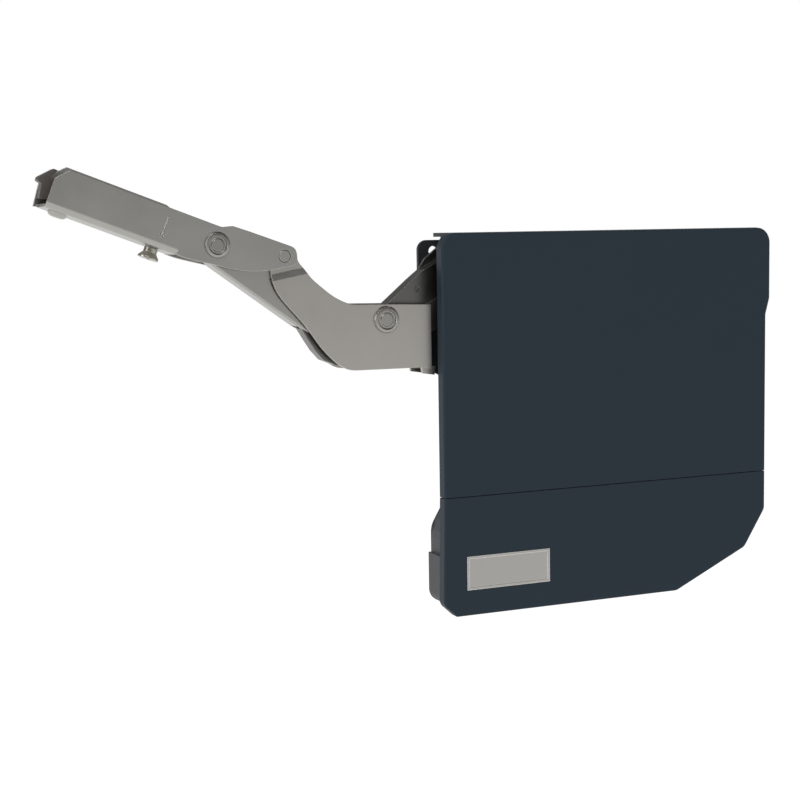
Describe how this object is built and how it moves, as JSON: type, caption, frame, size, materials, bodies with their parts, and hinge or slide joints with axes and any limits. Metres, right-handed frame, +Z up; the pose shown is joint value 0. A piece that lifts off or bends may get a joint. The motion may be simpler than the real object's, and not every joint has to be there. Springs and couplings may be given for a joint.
{
  "type": "cabinet lift support",
  "caption": "Spring lift for an upward opening cabinet flap: a flat wall housing with a folding scissor arm and a clip-on front bracket.",
  "frame": {"origin": "on the cabinet wall face, midway between the two upper fixing holes of the wall plate", "axes": "+X from the cabinet front to its back, +Y into the cabinet side wall, +Z up"},
  "size_m": [0.383, 0.0322, 0.2226],
  "materials": {
    "cover_plastic": "fine satin grain",
    "block_plastic": "matt",
    "badge_metal": "satin, bare",
    "plate_steel": "dark coated",
    "lever_steel": "satin plated",
    "bracket_steel": "satin plated",
    "link_steel": "satin plated",
    "scissor_steel": "satin plated, in shade",
    "rivet_steel": "turned",
    "bush_steel": "turned",
    "roller_steel": "ground",
    "catch_steel": "dark brown oxide",
    "screw_steel": "zinc plated",
    "rod_steel": "ground",
    "spring_steel": "oiled wire",
    "post_steel": "turned",
    "abutment_steel": "dark coated",
    "carriage_plastic": "matt",
    "damper_plastic": "smooth"
  },
  "bodies": {
    "housing": {"wall_plate": "plate_steel", "mechanism_plate": "plate_steel", "spacer_posts": "post_steel", "cover_upper": "cover_plastic", "cover_lower": "cover_plastic", "badge_plate": "badge_metal", "front_block": "block_plastic", "scissor_wall_pin": "rivet_steel", "scissor_wall_bushes": "bush_steel", "guide_wall_pin": "rivet_steel", "guide_wall_bushes": "bush_steel", "upper_spring": "spring_steel", "lower_spring": "spring_steel", "spindle_bearing": "block_plastic", "damper_holder": "block_plastic", "damper_cylinder": "damper_plastic"},
    "scissor": {"scissor_lever": "scissor_steel"},
    "lever": {"main_lever": "lever_steel", "main_rivet": "rivet_steel", "main_bushes": "bush_steel", "guide_pin": "bush_steel", "guide_bushes": "bush_steel"},
    "bracket": {"front_bracket": "bracket_steel", "bracket_rivet": "rivet_steel", "bracket_bushes": "bush_steel", "neck_pin": "bracket_steel", "neck_bushes": "bush_steel", "catch_pin": "bush_steel"},
    "tie": {"tie_link": "bracket_steel", "tie_pin": "bush_steel"},
    "guide": {"guide_lever": "link_steel"},
    "carriage": {"spring_carriage": "carriage_plastic", "roller_pin": "bush_steel", "guide_rods": "rod_steel", "damper_rod": "rod_steel"},
    "roller": {"cam_roller": "roller_steel"},
    "abutment": {"rear_abutment": "abutment_steel"},
    "spindle": {"tension_spindle": "screw_steel"},
    "catch": {"catch_plate": "catch_steel"},
    "screw": {"adjusting_screw": "screw_steel"}
  },
  "joints": [
    {"name": "arm_fold", "type": "hinge", "parent": "housing", "child": "scissor", "pos_m": [-0.0733, -0.01475, -0.0096], "axis": [0, -1, 0], "range_deg": [0, 96]},
    {"name": "lever_turn", "type": "hinge", "parent": "scissor", "child": "lever", "pos_m": [-0.1154, -0.01475, -0.0322], "axis": [0, -1, 0], "range_deg": [-88.01, 0]},
    {"name": "bracket_turn", "type": "hinge", "parent": "lever", "child": "bracket", "pos_m": [-0.1673, -0.01475, -0.0004], "axis": [0, -1, 0], "range_deg": [0, 102.51]},
    {"name": "tie_turn", "type": "hinge", "parent": "bracket", "child": "tie", "pos_m": [-0.2001, -0.01475, 0.0053], "axis": [0, -1, 0], "range_deg": [-104.51, 0]},
    {"name": "guide_turn", "type": "hinge", "parent": "housing", "child": "guide", "pos_m": [-0.0564, -0.01475, -0.0113], "axis": [0, -1, 0], "range_deg": [0, 96.01]},
    {"name": "carriage_slide", "type": "slide", "parent": "housing", "child": "carriage", "axis": [1, 0, 0], "range_m": [0, 0.0103], "deforming": ["upper_spring", "lower_spring"]},
    {"name": "roller_spin", "type": "hinge", "parent": "carriage", "child": "roller", "pos_m": [-0.0374, -0.01475, -0.018], "axis": [0, -1, 0], "continuous": true},
    {"name": "spindle_turn", "type": "hinge", "parent": "housing", "child": "spindle", "pos_m": [0.092, -0.01475, -0.018], "axis": [1, 0, 0], "range_deg": [-1440.1, 1440.1]},
    {"name": "abutment_slide", "type": "slide", "parent": "housing", "child": "abutment", "axis": [1, 0, 0], "range_m": [-0.004, 0.004], "deforming": ["upper_spring", "lower_spring"]},
    {"name": "catch_swing", "type": "hinge", "parent": "bracket", "child": "catch", "pos_m": [-0.2726, -0.01475, 0.0295], "axis": [0, 1, 0], "range_deg": [0, 6], "stiffness_Nm_per_rad": 0.3, "springref_deg": -5.73},
    {"name": "screw_turn", "type": "hinge", "parent": "bracket", "child": "screw", "pos_m": [-0.2283, -0.01475, 0.00466], "axis": [0.3541, 0, 0.9352], "continuous": true}
  ],
  "couplings": [
    {"joint": "lever_turn", "follows": "arm_fold", "ratio": -0.91667},
    {"joint": "bracket_turn", "follows": "arm_fold", "ratio": 1.0677},
    {"joint": "tie_turn", "follows": "arm_fold", "ratio": -1.0885},
    {"joint": "guide_turn", "follows": "arm_fold", "ratio": 1},
    {"joint": "carriage_slide", "follows": "arm_fold", "m_per_rad": 0.006147},
    {"joint": "spindle_turn", "follows": "abutment_slide", "rad_per_m": 6283.2}
  ]
}
